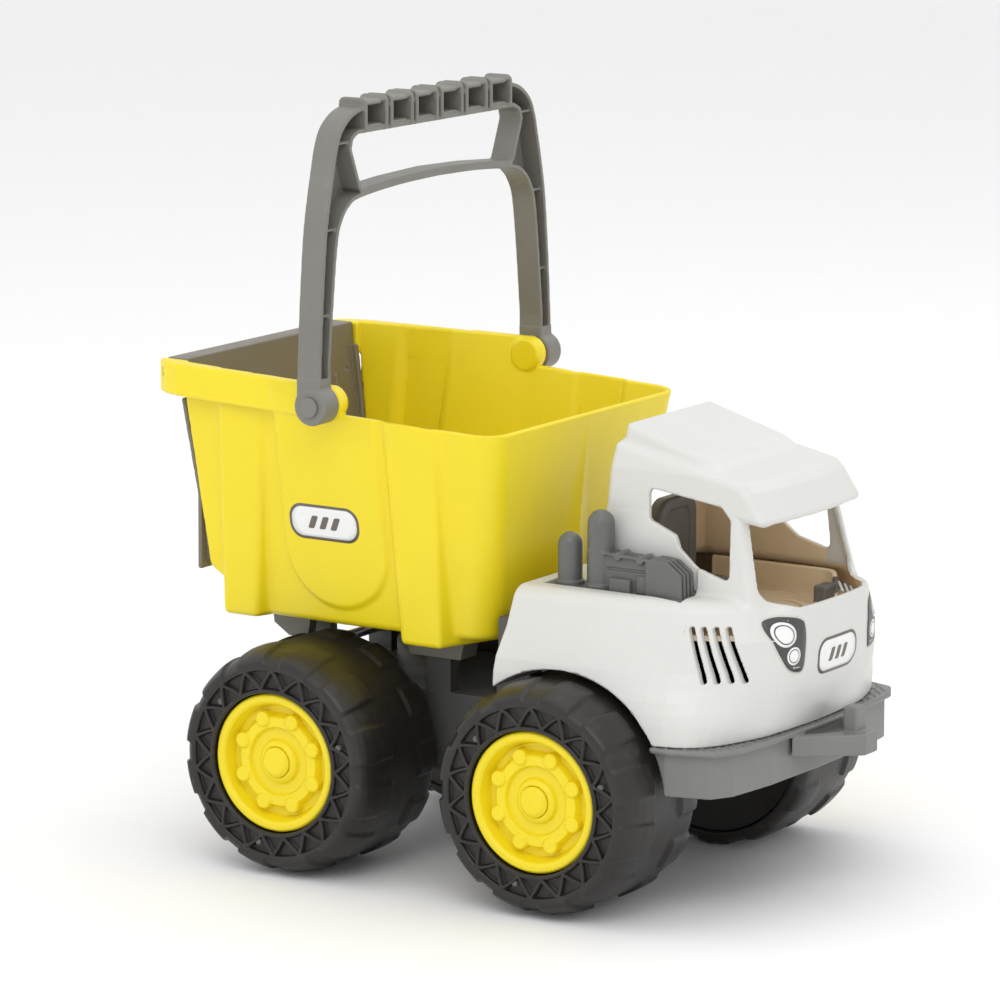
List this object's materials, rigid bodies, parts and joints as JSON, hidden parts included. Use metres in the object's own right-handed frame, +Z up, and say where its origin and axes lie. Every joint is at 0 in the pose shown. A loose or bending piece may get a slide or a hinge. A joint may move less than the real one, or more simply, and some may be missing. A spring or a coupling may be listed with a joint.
{
  "type": "toy dump truck",
  "caption": "Toy dump truck with white cab, grey chassis, tilting cradle, lift-off yellow bucket with hanging tailgate and swinging carry handle, and chunky free-rolling wheels.",
  "frame": {"origin": "on the ground under the middle of the truck's overall length", "axes": "+X towards the cab and tow hook, +Y towards the truck's left side, +Z up"},
  "size_m": [0.408, 0.262, 0.4255],
  "materials": {
    "yellow_plastic": "satin",
    "white_plastic": "satin",
    "grey_plastic": "satin",
    "light_grey_plastic": "satin",
    "dark_grey_plastic": "satin",
    "tyre_plastic": "fine texture",
    "printed_label": "printed",
    "steel": "plain"
  },
  "bodies": {
    "chassis": {"chassis_frame": "grey_plastic", "front_bumper": "light_grey_plastic", "cab_shell": "white_plastic", "engine": "grey_plastic", "seat": "dark_grey_plastic", "headlamp_labels": "printed_label", "front_label": "printed_label", "cab_screws": "steel", "bumper_screws": "steel", "front_axle": "steel", "rear_axle": "steel", "axle_push_nuts": "steel", "hinge_pin": "steel"},
    "tipping_bed": {"cradle": "grey_plastic"},
    "bucket_body": {"bucket": "yellow_plastic", "bucket_labels": "printed_label", "handle_pins": "grey_plastic"},
    "tailgate_body": {"tailgate": "grey_plastic"},
    "handle_body": {"handle": "grey_plastic"},
    "front_right_wheel": {"front_right_tyre": "tyre_plastic", "front_right_tyre_back": "tyre_plastic", "front_right_hub": "yellow_plastic", "front_right_hub_cap": "yellow_plastic", "front_right_tyre_screws": "steel"},
    "front_left_wheel": {"front_left_tyre": "tyre_plastic", "front_left_tyre_back": "tyre_plastic", "front_left_hub": "yellow_plastic", "front_left_hub_cap": "yellow_plastic", "front_left_tyre_screws": "steel"},
    "rear_right_wheel": {"rear_right_tyre": "tyre_plastic", "rear_right_tyre_back": "tyre_plastic", "rear_right_hub": "yellow_plastic", "rear_right_hub_cap": "yellow_plastic", "rear_right_tyre_screws": "steel"},
    "rear_left_wheel": {"rear_left_tyre": "tyre_plastic", "rear_left_tyre_back": "tyre_plastic", "rear_left_hub": "yellow_plastic", "rear_left_hub_cap": "yellow_plastic", "rear_left_tyre_screws": "steel"}
  },
  "joints": [
    {"name": "bed_tilt", "type": "hinge", "parent": "chassis", "child": "tipping_bed", "pos_m": [-0.13, 0, 0.11], "axis": [0, -1, 0], "range_deg": [0, 50]},
    {"name": "bucket_lift", "type": "slide", "parent": "tipping_bed", "child": "bucket_body", "axis": [0, 0, 1], "range_m": [0, 0.06]},
    {"name": "tailgate_swing", "type": "hinge", "parent": "bucket_body", "child": "tailgate_body", "pos_m": [-0.195, 0, 0.267], "axis": [0, 1, 0], "range_deg": [0, 70]},
    {"name": "handle_swing", "type": "hinge", "parent": "bucket_body", "child": "handle_body", "pos_m": [-0.078, 0, 0.262], "axis": [0, 1, 0], "range_deg": [-70, 84]},
    {"name": "front_right_wheel_spin", "type": "hinge", "parent": "chassis", "child": "front_right_wheel", "pos_m": [0.0695, 0, 0.064], "axis": [0, 1, 0], "continuous": true},
    {"name": "front_left_wheel_spin", "type": "hinge", "parent": "chassis", "child": "front_left_wheel", "pos_m": [0.0695, 0, 0.064], "axis": [0, 1, 0], "continuous": true},
    {"name": "rear_right_wheel_spin", "type": "hinge", "parent": "chassis", "child": "rear_right_wheel", "pos_m": [-0.0975, 0, 0.064], "axis": [0, 1, 0], "continuous": true},
    {"name": "rear_left_wheel_spin", "type": "hinge", "parent": "chassis", "child": "rear_left_wheel", "pos_m": [-0.0975, 0, 0.064], "axis": [0, 1, 0], "continuous": true}
  ]
}
